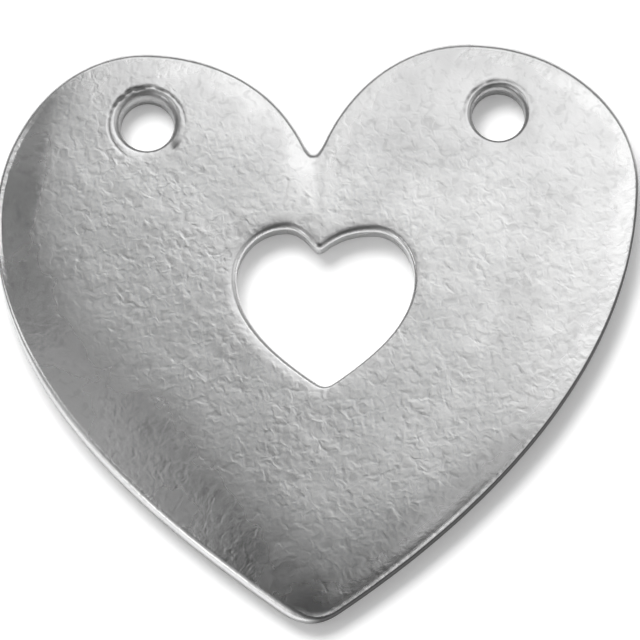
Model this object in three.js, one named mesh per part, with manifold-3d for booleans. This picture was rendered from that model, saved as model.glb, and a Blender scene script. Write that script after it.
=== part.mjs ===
// A heart charm: one cast metal plate with a heart-shaped cut-out and a round hole in each lobe.
// Lengths are in millimetres and angles in degrees. The plate lies on its flat back with its lobes
// towards +Y and +Z up. Its origin is on the back, in the middle of the plate's width and height.

import * as THREE from 'three';
import { ParametricGeometry } from 'three/addons/geometries/ParametricGeometry.js';
import { mergeVertices } from 'three/addons/utils/BufferGeometryUtils.js';
import Module from 'manifold-3d';

// The plate, seen from its edge. The face is crowned: it falls away a little towards the outline.
const PLATE_THICKNESS = 1.4;
const FRONT_EDGE_RADIUS = 0.4;
const BACK_EDGE_RADIUS = 0.2;
const CROWN_WIDTH = 3;
const CROWN_DROP = 0.18;

// The outline. Heights run from the corner in which the flanks would meet, offsets from the middle
// of the width. Angles are those of the curves at the notch and the tip, from the horizontal.
const HEART_WIDTH = 25.4;
const LEFT_LOBE_HEIGHT = 23.05;
const RIGHT_LOBE_HEIGHT = 23.45;
const LEFT_LOBE_OFFSET = 6.8;
const RIGHT_LOBE_OFFSET = 6;
const LEFT_SIDE_HEIGHT = 16.15;
const RIGHT_SIDE_HEIGHT = 17.85;
const NOTCH_OFFSET = -0.1;
const NOTCH_HEIGHT = 18.55;
const NOTCH_ROUNDING = 1;
const LEFT_NOTCH_ANGLE = 64;
const RIGHT_NOTCH_ANGLE = 66;
const TIP_OFFSET = -0.25;
const TIP_ROUNDING = 1.35;
const LEFT_TIP_ANGLE = 35;
const RIGHT_TIP_ANGLE = 34;

// The cut-out, measured in the same way from its own tip corner and the middle of its own width.
const CUTOUT_WIDTH = 7;
const CUTOUT_LEFT_LOBE_HEIGHT = 6.4;
const CUTOUT_RIGHT_LOBE_HEIGHT = 6.3;
const CUTOUT_LEFT_LOBE_OFFSET = 1.55;
const CUTOUT_RIGHT_LOBE_OFFSET = 1.9;
const CUTOUT_SIDE_HEIGHT = 4.4;
const CUTOUT_NOTCH_OFFSET = -0.25;
const CUTOUT_NOTCH_HEIGHT = 5.5;
const CUTOUT_NOTCH_ROUNDING = 0.3;
const CUTOUT_LEFT_NOTCH_ANGLE = 48;
const CUTOUT_RIGHT_NOTCH_ANGLE = 38;
const CUTOUT_TIP_ROUNDING = 0.35;
const CUTOUT_TIP_ANGLE = 34;
const CUTOUT_FRONT_EDGE_RADIUS = 0.25;
const CUTOUT_BACK_EDGE_RADIUS = 0.12;

// Where the cut-out lies: how far right of the plate's middle, and the metal between the two notches.
const CUTOUT_OFFSET = 0.35;
const NOTCH_WEB = 3.5;

// The two holes, below the tops of the lobes.
const HOLE_DIAMETER = 2.1;
const HOLE_FRONT_EDGE_RADIUS = 0.18;
const HOLE_BACK_EDGE_RADIUS = 0.1;
const HOLE_SPACING = 13.9;
const HOLE_OFFSET = 0.25;
const HOLE_INSET = 2.9;

// How full the curves of both hearts are: how far each end of a curve pulls along its own direction,
// as a share of the curve's span. The two ends of the outer quarter of a lobe pull alike.
const NOTCH_PULL = 0.37;
const LOBE_TOP_PULL = 0.36;
const LOBE_PULL = 0.55;
const FLANK_PULL = 0.35;
const TIP_PULL = 0.33;

// How finely the surfaces are stepped.
const INNER_LOBE_STEPS = 11;
const OUTER_LOBE_STEPS = 14;
const FLANK_STEPS = 12;
const TIP_STEPS = 8;
const NOTCH_STEPS = 6;
const FRONT_EDGE_STEPS = 4;
const BACK_EDGE_STEPS = 2;
const CROWN_STEPS = 4;
const HOLE_SEGMENTS = 40;
const HOLE_EDGE_STEPS = 3;

// The crown takes at most this share of the face between the outline and the cut-out.
const CROWN_LIMIT = 0.8;
// How far the hole cutters reach past the plate's two faces.
const CUTTER_REACH = 1;
const QUARTER_TURN = Math.PI / 2;

const PEWTER_COLOUR = 0xb8b8b6;
const PEWTER_ROUGHNESS = 0.42;

const PLATE_HEART = {
  notch: new THREE.Vector2(NOTCH_OFFSET, NOTCH_HEIGHT),
  notchRounding: NOTCH_ROUNDING,
  tip: new THREE.Vector2(TIP_OFFSET, 0),
  tipRounding: TIP_ROUNDING,
  left: {
    lobeTop: new THREE.Vector2(-LEFT_LOBE_OFFSET, LEFT_LOBE_HEIGHT),
    side: new THREE.Vector2(-HEART_WIDTH / 2, LEFT_SIDE_HEIGHT),
    notchAngle: LEFT_NOTCH_ANGLE,
    tipAngle: LEFT_TIP_ANGLE,
  },
  right: {
    lobeTop: new THREE.Vector2(RIGHT_LOBE_OFFSET, RIGHT_LOBE_HEIGHT),
    side: new THREE.Vector2(HEART_WIDTH / 2, RIGHT_SIDE_HEIGHT),
    notchAngle: RIGHT_NOTCH_ANGLE,
    tipAngle: RIGHT_TIP_ANGLE,
  },
};

const CUTOUT_HEART = {
  notch: new THREE.Vector2(CUTOUT_NOTCH_OFFSET, CUTOUT_NOTCH_HEIGHT),
  notchRounding: CUTOUT_NOTCH_ROUNDING,
  tip: new THREE.Vector2(0, 0),
  tipRounding: CUTOUT_TIP_ROUNDING,
  left: {
    lobeTop: new THREE.Vector2(-CUTOUT_LEFT_LOBE_OFFSET, CUTOUT_LEFT_LOBE_HEIGHT),
    side: new THREE.Vector2(-CUTOUT_WIDTH / 2, CUTOUT_SIDE_HEIGHT),
    notchAngle: CUTOUT_LEFT_NOTCH_ANGLE,
    tipAngle: CUTOUT_TIP_ANGLE,
  },
  right: {
    lobeTop: new THREE.Vector2(CUTOUT_RIGHT_LOBE_OFFSET, CUTOUT_RIGHT_LOBE_HEIGHT),
    side: new THREE.Vector2(CUTOUT_WIDTH / 2, CUTOUT_SIDE_HEIGHT),
    notchAngle: CUTOUT_RIGHT_NOTCH_ANGLE,
    tipAngle: CUTOUT_TIP_ANGLE,
  },
};

const CUTOUT_PLACE = new THREE.Vector2(CUTOUT_OFFSET, NOTCH_HEIGHT - NOTCH_WEB - CUTOUT_NOTCH_HEIGHT);

const HOLE_PLACES = [
  new THREE.Vector2(HOLE_OFFSET - HOLE_SPACING / 2, LEFT_LOBE_HEIGHT - HOLE_INSET),
  new THREE.Vector2(HOLE_OFFSET + HOLE_SPACING / 2, RIGHT_LOBE_HEIGHT - HOLE_INSET),
];

/** A point at a distance from start, to the left or right (side -1 or 1), that many degrees above level. */
function pointAlong(start, side, angle, distance) {
  const slope = THREE.MathUtils.degToRad(angle);
  return new THREE.Vector2(side * Math.cos(slope), Math.sin(slope)).multiplyScalar(distance).add(start);
}

/** The four anchors of one half of a heart and the pull points between them, from the notch to the tip. */
function halfHeart(heart, side, half) {
  const { lobeTop } = half;
  const widest = half.side;
  const notchEnd = pointAlong(heart.notch, side, half.notchAngle, heart.notchRounding);
  const tipEnd = pointAlong(heart.tip, side, half.tipAngle, heart.tipRounding);
  const innerSpan = notchEnd.distanceTo(lobeTop);
  const flankSpan = widest.distanceTo(tipEnd);
  const lobeReach = Math.abs(widest.x - lobeTop.x);
  const lobeFall = lobeTop.y - widest.y;
  return [
    notchEnd,
    pointAlong(notchEnd, side, half.notchAngle, NOTCH_PULL * innerSpan),
    pointAlong(lobeTop, -side, 0, LOBE_TOP_PULL * innerSpan),
    lobeTop,
    pointAlong(lobeTop, side, 0, LOBE_PULL * lobeReach),
    new THREE.Vector2(widest.x, widest.y + LOBE_PULL * lobeFall),
    widest,
    new THREE.Vector2(widest.x, widest.y - FLANK_PULL * flankSpan),
    pointAlong(tipEnd, side, half.tipAngle, TIP_PULL * flankSpan),
    tipEnd,
  ];
}

/** Adds the three curves of a half heart to a path that already stands on the half's first point. */
function drawHalf(path, points) {
  for (let first = 1; first < points.length; first += 3) {
    const [pullOut, pullIn, end] = points.slice(first, first + 3);
    path.bezierCurveTo(pullOut.x, pullOut.y, pullIn.x, pullIn.y, end.x, end.y);
  }
}

/** A closed heart, drawn clockwise from the right side of its notch. */
function heartPath(heart) {
  const rightHalf = halfHeart(heart, 1, heart.right);
  const leftHalf = halfHeart(heart, -1, heart.left).reverse();
  const path = new THREE.Path();
  path.moveTo(rightHalf[0].x, rightHalf[0].y);
  drawHalf(path, rightHalf);
  path.quadraticCurveTo(heart.tip.x, heart.tip.y, leftHalf[0].x, leftHalf[0].y);
  drawHalf(path, leftHalf);
  path.quadraticCurveTo(heart.notch.x, heart.notch.y, rightHalf[0].x, rightHalf[0].y);
  return path;
}

/** Points round a heart with the unit direction that leads out of it at each, moved to its place. */
function heartLoop(heart, place) {
  const halfSteps = [INNER_LOBE_STEPS, OUTER_LOBE_STEPS, FLANK_STEPS];
  const steps = [...halfSteps, TIP_STEPS, ...halfSteps.toReversed(), NOTCH_STEPS];
  const loop = [];
  heartPath(heart).curves.forEach((curve, index) => {
    for (let step = 0; step < steps[index]; step += 1) {
      const along = step / steps[index];
      const tangent = curve.getTangent(along);
      loop.push({
        point: curve.getPoint(along).add(place),
        outward: new THREE.Vector2(-tangent.y, tangent.x),
      });
    }
  });
  return loop;
}

/** The wall of an edge from the back up to the face: how far into the metal, and how high, each point is. */
function edgeProfile(faceHeight, faceSlope, frontRadius, backRadius) {
  const profile = [];
  for (let step = 0; step <= BACK_EDGE_STEPS; step += 1) {
    const turn = (step / BACK_EDGE_STEPS) * QUARTER_TURN;
    profile.push({ inset: backRadius * (1 - Math.sin(turn)), height: backRadius * (1 - Math.cos(turn)) });
  }
  const fullTurn = QUARTER_TURN - faceSlope;
  const centreHeight = faceHeight - frontRadius * Math.sin(fullTurn);
  for (let step = 0; step <= FRONT_EDGE_STEPS; step += 1) {
    const turn = (step / FRONT_EDGE_STEPS) * fullTurn;
    profile.push({
      inset: frontRadius * (1 - Math.cos(turn)),
      height: centreHeight + frontRadius * Math.sin(turn),
    });
  }
  return profile;
}

/** One section of the plate: up the cut-out's wall, out across the face and down the outer edge. */
function plateSection(outlineSpot, cutoutSpot) {
  const fromCutout = (inset) => cutoutSpot.point.clone().addScaledVector(cutoutSpot.outward, inset);
  const fromOutline = (inset) => outlineSpot.point.clone().addScaledVector(outlineSpot.outward, -inset);
  const lift = (point, height) => new THREE.Vector3(point.x, point.y, height);

  const innerWall = edgeProfile(PLATE_THICKNESS, 0, CUTOUT_FRONT_EDGE_RADIUS, CUTOUT_BACK_EDGE_RADIUS);
  const faceStart = fromCutout(CUTOUT_FRONT_EDGE_RADIUS);
  const span = faceStart.distanceTo(fromOutline(FRONT_EDGE_RADIUS));
  const crownWidth = Math.min(CROWN_WIDTH, CROWN_LIMIT * span);
  const crownSlope = Math.atan((2 * CROWN_DROP) / crownWidth);
  const outerWall = edgeProfile(
    PLATE_THICKNESS - CROWN_DROP,
    crownSlope,
    FRONT_EDGE_RADIUS,
    BACK_EDGE_RADIUS,
  ).reverse();
  const faceEnd = fromOutline(outerWall[0].inset);

  const crown = [];
  for (let step = 0; step < CROWN_STEPS; step += 1) {
    const fallen = step / CROWN_STEPS;
    const fromEdge = (crownWidth / span) * (1 - fallen);
    crown.push(lift(faceEnd.clone().lerp(faceStart, fromEdge), PLATE_THICKNESS - CROWN_DROP * fallen ** 2));
  }
  return [
    ...innerWall.map(({ inset, height }) => lift(fromCutout(inset), height)),
    ...crown,
    ...outerWall.map(({ inset, height }) => lift(fromOutline(inset), height)),
  ];
}

/** The plate without its round holes: its section carried once round the two hearts. */
function plateBlank() {
  const outline = heartLoop(PLATE_HEART, new THREE.Vector2());
  const cutout = heartLoop(CUTOUT_HEART, CUTOUT_PLACE);
  const sections = outline.map((spot, index) => plateSection(spot, cutout[index]));
  const around = sections.length;
  const across = sections[0].length;
  const surface = (u, v, target) => {
    const section = sections[Math.round(u * around) % around];
    target.copy(section[Math.round(v * across) % across]);
  };
  return new ParametricGeometry(surface, around, across);
}

/** A spool that cuts one round hole and rounds its rims at the face and at the back. */
function holeCutter(place) {
  const radius = HOLE_DIAMETER / 2;
  const profile = [new THREE.Vector2(0, -CUTTER_REACH), new THREE.Vector2(radius + HOLE_BACK_EDGE_RADIUS, -CUTTER_REACH)];
  for (let step = 0; step <= HOLE_EDGE_STEPS; step += 1) {
    const turn = (step / HOLE_EDGE_STEPS) * QUARTER_TURN;
    const reach = HOLE_BACK_EDGE_RADIUS * (1 - Math.sin(turn));
    profile.push(new THREE.Vector2(radius + reach, HOLE_BACK_EDGE_RADIUS * (1 - Math.cos(turn))));
  }
  for (let step = 0; step <= HOLE_EDGE_STEPS; step += 1) {
    const turn = (step / HOLE_EDGE_STEPS) * QUARTER_TURN;
    const fall = HOLE_FRONT_EDGE_RADIUS * (1 - Math.sin(turn));
    profile.push(
      new THREE.Vector2(radius + HOLE_FRONT_EDGE_RADIUS * (1 - Math.cos(turn)), PLATE_THICKNESS - fall),
    );
  }
  const top = PLATE_THICKNESS + CUTTER_REACH;
  profile.push(new THREE.Vector2(radius + HOLE_FRONT_EDGE_RADIUS, top), new THREE.Vector2(0, top));
  return new THREE.LatheGeometry(profile, HOLE_SEGMENTS)
    .rotateX(QUARTER_TURN)
    .translate(place.x, place.y, 0);
}

const wasm = await Module();
wasm.setup();

/** A closed geometry as a solid that can be cut. */
function toSolid(geometry) {
  geometry.deleteAttribute('normal');
  geometry.deleteAttribute('uv');
  const merged = mergeVertices(geometry);
  return new wasm.Manifold(
    new wasm.Mesh({
      numProp: 3,
      vertProperties: merged.attributes.position.array,
      triVerts: new Uint32Array(merged.index.array),
    }),
  );
}

/** A solid as a geometry with its own normals. */
function toGeometry(solid) {
  const { vertProperties, triVerts } = solid.getMesh();
  const geometry = new THREE.BufferGeometry();
  geometry.setAttribute('position', new THREE.BufferAttribute(vertProperties, 3));
  geometry.setIndex(new THREE.BufferAttribute(triVerts, 1));
  geometry.computeVertexNormals();
  return geometry;
}

/** The finished plate, centred on the middle of its own box. */
function heartPlate() {
  const pierced = HOLE_PLACES.reduce(
    (solid, place) => solid.subtract(toSolid(holeCutter(place))),
    toSolid(plateBlank()),
  );
  const geometry = toGeometry(pierced);
  geometry.computeBoundingBox();
  const middle = geometry.boundingBox.getCenter(new THREE.Vector3());
  return geometry.translate(-middle.x, -middle.y, 0);
}

const plate = new THREE.Mesh(
  heartPlate(),
  new THREE.MeshStandardMaterial({ color: PEWTER_COLOUR, roughness: PEWTER_ROUGHNESS, metalness: 1 }),
);
plate.name = 'heart_plate';

const charm = new THREE.Group();
charm.add(plate);

export default charm;
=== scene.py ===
"""The looks of a heart charm: one plate of satin cast metal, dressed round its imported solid.

Size fields are in millimetres and angles in degrees. Meshes are shaped in millimetres too, and are
brought to metres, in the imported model's own frame, when they become objects.
"""

import logging
import math
from dataclasses import dataclass, field, replace
from enum import Enum

import bmesh
import bpy
from bmesh.types import BMesh, BMVert
from bpy.types import NodeSocket
from mathutils import Matrix, Vector, noise
from mathutils.bvhtree import BVHTree
from mathutils.geometry import interpolate_bezier
from mathutils.kdtree import KDTree


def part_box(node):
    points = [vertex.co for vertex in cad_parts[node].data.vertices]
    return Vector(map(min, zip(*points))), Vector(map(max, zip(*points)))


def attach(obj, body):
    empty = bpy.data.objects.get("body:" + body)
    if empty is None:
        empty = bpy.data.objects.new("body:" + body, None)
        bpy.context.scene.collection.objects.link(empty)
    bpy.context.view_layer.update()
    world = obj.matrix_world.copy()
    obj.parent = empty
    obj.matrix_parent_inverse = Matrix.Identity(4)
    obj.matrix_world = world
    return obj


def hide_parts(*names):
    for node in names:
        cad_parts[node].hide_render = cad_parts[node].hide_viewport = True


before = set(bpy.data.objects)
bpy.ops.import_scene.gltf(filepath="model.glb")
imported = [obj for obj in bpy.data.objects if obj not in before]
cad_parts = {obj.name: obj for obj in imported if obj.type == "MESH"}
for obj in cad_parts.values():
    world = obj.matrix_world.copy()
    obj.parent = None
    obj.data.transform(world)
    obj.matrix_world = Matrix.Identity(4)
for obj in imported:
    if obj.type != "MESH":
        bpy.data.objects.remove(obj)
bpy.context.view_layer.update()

LOG = logging.getLogger("heart_charm")
MM = 0.001
NODE = "heart_plate"
BODY = "root"
NOISE_SEED = 5
MARK_REACH = 3
NOISE_MIDDLE = 0.5
NEAR_HEIGHT = 50


class Side(Enum):
    """The left and the right half of a heart, as the sign of X on that side."""

    LEFT = -1
    RIGHT = 1


class Face(Enum):
    """The two faces of the plate."""

    BACK = 0
    FRONT = 1


@dataclass(frozen=True)
class HalfHeart:
    """One half of a heart, measured from the tip corner and the middle of the heart's width.

    Both angles are those of the curve where it leaves the notch or the tip, from the horizontal.
    """

    lobe_offset: float
    lobe_height: float
    side_offset: float
    side_height: float
    notch_angle: float
    tip_angle: float

    def grown(self, distance: float) -> "HalfHeart":
        """This half with its outline moved outwards by a distance."""
        return replace(
            self,
            lobe_height=self.lobe_height + distance,
            side_offset=self.side_offset + distance,
        )


@dataclass(frozen=True)
class LoopSteps:
    """How many steps each curve of a heart is drawn with."""

    inner_lobe: int = 60
    outer_lobe: int = 72
    flank: int = 160
    tip: int = 20
    notch: int = 12


@dataclass(frozen=True)
class HeartCurve:
    """A closed heart of six curves, rounded at its notch and its tip.

    The pulls say how far each end of a curve reaches along its own direction, as a share of its span.
    """

    left: HalfHeart
    right: HalfHeart
    notch_offset: float
    notch_height: float
    notch_rounding: float
    tip_rounding: float
    tip_offset: float = 0.0
    tip_height: float = 0.0
    notch_pull: float = 0.37
    lobe_top_pull: float = 0.36
    lobe_pull: float = 0.55
    flank_pull: float = 0.35
    tip_pull: float = 0.33
    corner_pull: float = 2 / 3

    def half(self, side: Side) -> HalfHeart:
        """The half heart on one side."""
        return self.right if side is Side.RIGHT else self.left

    def grown(self, distance: float) -> "HeartCurve":
        """The heart whose outline lies a distance outside this one, or inside where it is negative.

        Args:
            distance: How far the outline moves outwards.

        Returns:
            A heart whose corners lie where the moved flanks meet.
        """
        notch_shift, notch_rise, notch_run = self._corner_move(
            distance, self.left.notch_angle, self.right.notch_angle
        )
        tip_shift, tip_rise, tip_run = self._corner_move(
            distance, self.left.tip_angle, self.right.tip_angle
        )
        return replace(
            self,
            left=self.left.grown(distance),
            right=self.right.grown(distance),
            notch_offset=self.notch_offset + notch_shift,
            notch_height=self.notch_height + notch_rise,
            notch_rounding=self.notch_rounding - notch_run,
            tip_offset=self.tip_offset - tip_shift,
            tip_height=self.tip_height - tip_rise,
            tip_rounding=self.tip_rounding + tip_run,
        )

    @staticmethod
    def _corner_move(distance: float, left_angle: float, right_angle: float) -> tuple[float, float, float]:
        """How a corner moves when the two lines that meet in it move apart.

        Args:
            distance: How far each line moves, square to itself.
            left_angle: The left line's angle from the horizontal.
            right_angle: The right line's angle from the horizontal.

        Returns:
            The corner's shift to the right, its rise, and the change in the length that it rounds.
        """
        left, right = math.radians(left_angle), math.radians(right_angle)
        shift = distance * (1 / math.cos(left) - 1 / math.cos(right)) / (math.tan(left) + math.tan(right))
        rise = distance / math.cos(right) + math.tan(right) * shift
        run = distance / math.tan((math.pi - left - right) / 2)
        return shift, rise, run

    def loop(self, steps: LoopSteps) -> list[Vector]:
        """The heart's points, clockwise from the right side of its notch.

        Args:
            steps: How many steps each curve takes.

        Returns:
            The points in the plane, in millimetres.
        """
        right, left = self._knots(Side.RIGHT), self._knots(Side.LEFT)[::-1]
        notch = Vector((self.notch_offset, self.notch_height, 0))
        tip = Vector((self.tip_offset, self.tip_height, 0))
        outward = [steps.inner_lobe, steps.outer_lobe, steps.flank]
        points = []
        for knots, counts in ((right, outward), (left, outward[::-1])):
            for index, count in enumerate(counts):
                points += interpolate_bezier(*knots[3 * index: 3 * index + 4], count + 1)[:-1]
            corner, count = (tip, steps.tip) if knots is right else (notch, steps.notch)
            start, end = knots[-1], left[0] if knots is right else right[0]
            handles = [point.lerp(corner, self.corner_pull) for point in (start, end)]
            points += interpolate_bezier(start, *handles, end, count + 1)[:-1]
        return points

    def _knots(self, side: Side) -> list[Vector]:
        """The anchors of one half and the handles between them, from the notch to the tip."""
        half, sign = self.half(side), side.value
        across = Vector((sign, 0, 0))
        notch_way = self._way(sign, half.notch_angle)
        tip_way = self._way(sign, half.tip_angle)
        start = Vector((self.notch_offset, self.notch_height, 0)) + notch_way * self.notch_rounding
        end = Vector((self.tip_offset, self.tip_height, 0)) + tip_way * self.tip_rounding
        top = Vector((sign * half.lobe_offset, half.lobe_height, 0))
        widest = Vector((sign * half.side_offset, half.side_height, 0))
        inner_span = (top - start).length
        reach = self.lobe_pull * abs(widest.x - top.x)
        fall = self.lobe_pull * (top.y - widest.y)
        flank_span = (widest - end).length
        return [
            start,
            start + notch_way * self.notch_pull * inner_span,
            top - across * self.lobe_top_pull * inner_span,
            top,
            top + across * reach,
            widest + Vector((0, fall, 0)),
            widest,
            widest - Vector((0, self.flank_pull * flank_span, 0)),
            end + tip_way * self.tip_pull * flank_span,
            end,
        ]

    @staticmethod
    def _way(sign: int, angle: float) -> Vector:
        """The unit direction to one side and up at an angle."""
        slope = math.radians(angle)
        return Vector((sign * math.cos(slope), math.sin(slope), 0))


PLATE_OUTLINE = HeartCurve(
    left=HalfHeart(6.8, 23.05, 12.7, 16.15, 64, 35),
    right=HalfHeart(6.0, 23.45, 12.7, 17.85, 66, 34),
    notch_offset=-0.1,
    notch_height=18.55,
    notch_rounding=1.0,
    tip_offset=-0.25,
    tip_rounding=1.35,
)
CUTOUT_OUTLINE = HeartCurve(
    left=HalfHeart(1.55, 6.4, 3.5, 4.4, 48, 34),
    right=HalfHeart(1.9, 6.3, 3.5, 4.4, 38, 34),
    notch_offset=-0.25,
    notch_height=5.5,
    notch_rounding=0.3,
    tip_rounding=0.35,
)


def smooth_step(low: float, high: float, value: float) -> float:
    """Rises smoothly from 0 at low to 1 at high."""
    share = min(1.0, max(0.0, (value - low) / (high - low)))
    return share * share * (3 - 2 * share)


def add_object(name: str, data: bpy.types.ID) -> bpy.types.Object:
    """Puts a mesh, a lamp or a camera in the scene."""
    item = bpy.data.objects.new(name, data)
    bpy.context.scene.collection.objects.link(item)
    return item


def add_mesh(name: str, bm: BMesh) -> bpy.types.Object:
    """Puts a finished shape in the scene."""
    mesh = bpy.data.meshes.new(name)
    bm.to_mesh(mesh)
    bm.free()
    return add_object(name, mesh)


def aim(item: bpy.types.Object, place: Vector, way: Vector) -> None:
    """Stands a lamp or a camera at a place and points it one way."""
    item.matrix_world = Matrix.Translation(place) @ way.to_track_quat("-Z", "Y").to_matrix().to_4x4()


@dataclass(frozen=True)
class Facing:
    """A share that is 1 one way and fades towards the opposite one.

    Attributes:
        angle: The direction in which it is 1, from +X.
        narrowing: How fast it fades away from there.
    """

    angle: float
    narrowing: float = 1.0

    def lean(self, way: Vector) -> float:
        """How far a direction leans that way, from 1 down to -1."""
        return math.cos(math.atan2(way.y, way.x) - math.radians(self.angle))

    def share(self, way: Vector) -> float:
        """The share in one direction."""
        return ((1 + self.lean(way)) / 2) ** self.narrowing


@dataclass(frozen=True)
class EdgeWear:
    """How round an edge has been worn, more where it faces some ways.

    Attributes:
        least: Its least radius.
        worn: How much each way of facing adds to it.
    """

    least: float
    worn: tuple[tuple[float, Facing], ...]

    @property
    def most(self) -> float:
        """A radius that it never passes."""
        return self.least + sum(extra for extra, _ in self.worn)

    def share(self, way: Vector) -> float:
        """The radius of an edge that faces one way, as a share of the largest."""
        return (self.least + sum(extra * facing.share(way) for extra, facing in self.worn)) / self.most


@dataclass(frozen=True)
class Facet:
    """A flat that rubbing has left on the face, beyond one line.

    Attributes:
        place: A point on the line, from the outline's tip corner.
        angle: The direction out over the facet, from +X.
        slope: How steeply the facet falls.
        crease: How far the bend at the line spreads.
        gone: The height above the tip corner at which the facet has faded out.
        whole: The height at which it is whole.
    """

    place: tuple[float, float]
    angle: float
    slope: float
    crease: float
    gone: float
    whole: float

    def fall(self, flat: Vector) -> float:
        """How far the facet lies below the face at a place."""
        turn = math.radians(self.angle)
        way = Vector((math.cos(turn), math.sin(turn)))
        beyond = (flat.xy - Vector(self.place)).dot(way)
        bent = (beyond + math.hypot(beyond, self.crease)) / 2
        return self.slope * bent * smooth_step(self.gone, self.whole, flat.y)


@dataclass(frozen=True)
class RimMark:
    """A raised lip or a torn hollow beside a hole's rim, strongest at one angle.

    Attributes:
        height: How far it rises, or sinks where it is negative.
        beyond: How far its middle lies outside the rim.
        width: How far it spreads from its middle.
        facing: Where it is strongest, and how fast it fades round the hole.
        raggedness: How much its height varies along the rim.
        bumps: How many bumps a millimetre of it has.
    """

    height: float
    beyond: float
    width: float
    facing: Facing
    raggedness: float = 0.0
    bumps: float = 4.5

    def lift(self, away: Vector, rim: float) -> float:
        """How far it moves the face at a place.

        Args:
            away: The place, from the hole's centre.
            rim: The radius of the hole's rim.

        Returns:
            The move along Z.
        """
        spread = (away.xy.length - rim - self.beyond) / self.width
        if abs(spread) > MARK_REACH:
            return 0.0
        torn = 1 + self.raggedness * noise.noise(away * self.bumps)
        return self.height * self.facing.share(away) * torn * math.exp(-spread * spread)


@dataclass(frozen=True)
class RoundHole:
    """A hanging hole, its rounded rims and the marks beside them.

    The front rounding reaches deeper than it reaches outwards, by its steepness. The gap lies between its
    largest reach and the front face.
    """

    offset: float
    below_lobe_top: float
    side: Side
    diameter: float = 2.1
    front_edge: EdgeWear = EdgeWear(0.13, ((0.14, Facing(275, 1.2)),))
    steepness: float = 1.8
    back_radius: float = 0.1
    gap: float = 0.02
    marks: tuple[RimMark, ...] = ()

    @property
    def rim(self) -> float:
        """The radius at which the front face starts, just outside the rounding."""
        return self.diameter / 2 + self.front_edge.most + self.gap


@dataclass(frozen=True)
class Crown:
    """How the front falls away towards the outline, most on one side of the plate.

    Attributes:
        drop: How far it falls at the outline, where it falls most.
        width: The width of the border that falls.
        top_share: The share of the drop on the far side.
        extra: How much wider the border is on its widest side.
        side: That side, and how fast the drop shrinks away from there.
        ease: How many rounds of smoothing take its creases out.
        tip_height: The height at which the front starts to bend down to the tip.
        tip_curve: How sharply it bends, per millimetre.
    """

    drop: float = 0.18
    width: float = 3.0
    top_share: float = 0.3
    extra: float = 0.9
    side: Facing = Facing(215, 0.7)
    ease: int = 80
    tip_height: float = 4.2
    tip_curve: float = 0.02

    def fall(self, away: Vector, from_edge: float, height: float) -> float:
        """How far the front has fallen at a place.

        Args:
            away: The place, from the plate's middle.
            from_edge: How far the place is from the outline.
            height: How far the place is above the tip corner, in the plane.

        Returns:
            The fall along Z.
        """
        width = self.width + self.extra * max(0.0, self.side.lean(away))
        share = self.top_share + (1 - self.top_share) * self.side.share(away)
        border = self.drop * share * max(0.0, 1 - from_edge / width) ** 2
        return border + self.tip_curve / 2 * max(0.0, self.tip_height - height) ** 2


@dataclass(frozen=True)
class Burnish:
    """The border that tumbling has rubbed smooth, widest on one side of the plate.

    Attributes:
        width: Its least width.
        extra: How much wider it is on its widest side.
        side: That side, and how fast it narrows away from there.
        fade: The shares of its width between which it fades.
        raggedness: How far its inner edge wanders.
        bays: How many bays a millimetre of that edge has.
        rim: The distances from an opening between which it fades.
        rim_share: How smooth it is there.
    """

    width: float = 0.8
    extra: float = 2.3
    side: Facing = Facing(208, 1.5)
    fade: tuple[float, float] = (0.2, 1.7)
    raggedness: float = 0.5
    bays: float = 1.1
    rim: tuple[float, float] = (0.1, 0.35)
    rim_share: float = 0.6

    def share(self, place: Vector, away: Vector, from_edge: float, from_opening: float) -> float:
        """How burnished a place is.

        Args:
            place: The place on the face.
            away: The place, from the plate's middle.
            from_edge: How far the place is from the outline.
            from_opening: How far it is from the nearest opening.

        Returns:
            1 where it is rubbed smooth, and 0 where it is as cast.
        """
        width = self.width + self.extra * max(0.0, self.side.lean(away)) ** self.side.narrowing
        ragged = self.raggedness * noise.fractal(place * self.bays, 0.8, 2.0, 3)
        start, end = self.fade
        border = 1 - smooth_step(start * width, end * width, from_edge + ragged)
        rim = 1 - smooth_step(*self.rim, from_opening)
        return max(border, self.rim_share * rim)


@dataclass(frozen=True)
class PaintedShadeAndHollows:
    """Painted shade: a dark grey painted on the outline's wall on the side where the plate's shadow falls,
    and inside the round holes; torn hollows are darker as well.

    Attributes:
        facing: The way that the outline's wall with painted shade faces.
        facing_ramp: The shares of that facing between which it comes in.
        levelling: The rises of a normal between which a wall becomes a face, which has none.
        fade: The distances from the outline between which it fades.
        torn_share: Its share in torn hollows.
        torn: Their depths between which it comes in.
        hole_share: The share of painted shade inside the round holes.
    """

    facing: Facing = Facing(320, 2)
    facing_ramp: tuple[float, float] = (0.55, 0.85)
    levelling: tuple[float, float] = (0.88, 0.99)
    fade: tuple[float, float] = (0.1, 0.3)
    torn_share: float = 0.75
    torn: tuple[float, float] = (0.003, 0.025)
    hole_share: float = 0.25

    def share(self, rise: float, outwards: Vector, from_edge: float, sunk: float, in_hole: bool) -> float:
        """How dark a place is painted: painted shade on the wall and in the holes, and a darker torn
        hollow.

        Args:
            rise: The upward part of its normal.
            outwards: The direction out of the outline where it is nearest.
            from_edge: How far the place is from the outline.
            sunk: How far it has been torn down.
            in_hole: Whether it lies in a round hole.

        Returns:
            1 where it is darkest, and 0 where it is not darkened.
        """
        upright = 1 - smooth_step(*self.levelling, abs(rise))
        at_edge = 1 - smooth_step(*self.fade, from_edge)
        # Painted shade on the outline's wall on the side where the plate's shadow falls.
        wall = smooth_step(*self.facing_ramp, self.facing.share(outwards)) * upright * at_edge
        # Torn hollows are darker by their depth.
        torn = self.torn_share * smooth_step(*self.torn, sunk)
        # Painted shade inside the round holes.
        return max(wall, torn, self.hole_share * in_hole * upright)


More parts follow.
